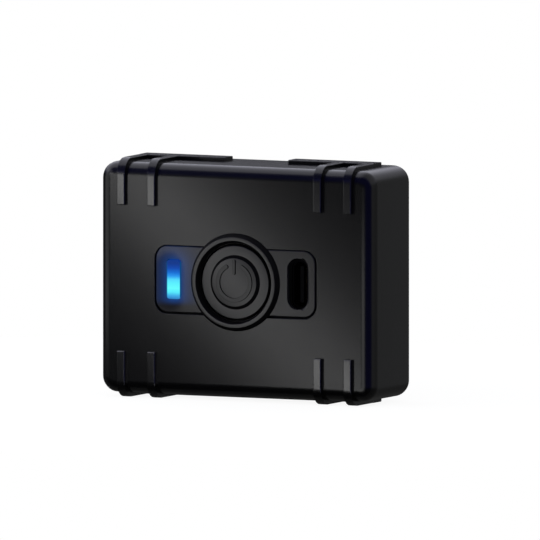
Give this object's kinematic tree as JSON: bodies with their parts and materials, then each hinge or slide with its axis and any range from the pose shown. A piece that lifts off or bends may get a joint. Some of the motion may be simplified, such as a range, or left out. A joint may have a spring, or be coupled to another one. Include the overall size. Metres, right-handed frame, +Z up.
{
  "type": "gps tracker",
  "caption": "Small rectangular battery GPS tracker with a ribbed black housing, an inlaid front panel, a round power button, a lit status window and a charging port.",
  "frame": {"origin": "middle of the whole outline, on the surface that the tracker stands on", "axes": "+Z up, the front with the button faces -Y, +X is to the right as seen from the front"},
  "size_m": [0.0554, 0.0174, 0.044],
  "materials": {
    "housing_plastic": "satin",
    "seal_rubber": "matte",
    "screw_steel": "blackened",
    "panel_plastic": "satin",
    "bezel_plastic": "satin",
    "button_plastic": "satin",
    "spring_steel": "bright",
    "black_moulding": "matte",
    "plunger_plastic": "matte",
    "status_window": "lit blue",
    "led_package": "white",
    "port_steel": "black nickel",
    "circuit_board": "solder mask",
    "shield_metal": "tinned",
    "antenna_ceramic": "silver faced",
    "antenna_film": "film",
    "contact_brass": "gold plated",
    "card_plastic": "matte",
    "cell_pouch": "foil",
    "cell_tape": "film",
    "foam": "closed cell foam",
    "adhesive": "tape",
    "red_insulation": "satin",
    "black_insulation": "satin",
    "plug_plastic": "natural"
  },
  "bodies": {
    "tracker": {"housing": "housing_plastic", "rear_cover": "housing_plastic", "cover_seal": "seal_rubber", "case_screws": "screw_steel", "control_panel": "panel_plastic", "button_bezel": "bezel_plastic", "tact_switch": "black_moulding", "led_lens": "status_window", "status_led": "led_package", "usb_shell": "port_steel", "usb_insert": "black_moulding", "usb_gasket": "seal_rubber", "main_board": "circuit_board", "board_screws": "screw_steel", "modem_board": "circuit_board", "modem_shield": "shield_metal", "gnss_module": "shield_metal", "gnss_antenna": "antenna_ceramic", "cellular_antenna": "antenna_film", "antenna_contact": "contact_brass", "sim_socket": "shield_metal", "nano_sim": "card_plastic", "charger_chip": "black_moulding", "power_inductor": "black_moulding", "motion_sensor": "black_moulding", "battery_cell": "cell_pouch", "protection_board": "cell_tape", "battery_foam": "foam", "battery_tape": "adhesive", "battery_lead_red": "red_insulation", "battery_lead_black": "black_insulation", "battery_plug": "plug_plastic", "battery_socket": "plug_plastic"},
    "button": {"power_button": "button_plastic", "button_oring": "seal_rubber", "button_clip": "spring_steel"},
    "plunger": {"switch_plunger": "plunger_plastic"}
  },
  "joints": [
    {"name": "button_press", "type": "slide", "parent": "tracker", "child": "button", "axis": [0, 1, 0], "range_m": [0, 0.0005], "stiffness_N_per_m": 2400, "springref_m": -0.0003},
    {"name": "plunger_press", "type": "slide", "parent": "tracker", "child": "plunger", "axis": [0, 1, 0], "range_m": [0, 0.0005]}
  ],
  "couplings": [
    {"joint": "plunger_press", "follows": "button_press", "ratio": 1}
  ]
}
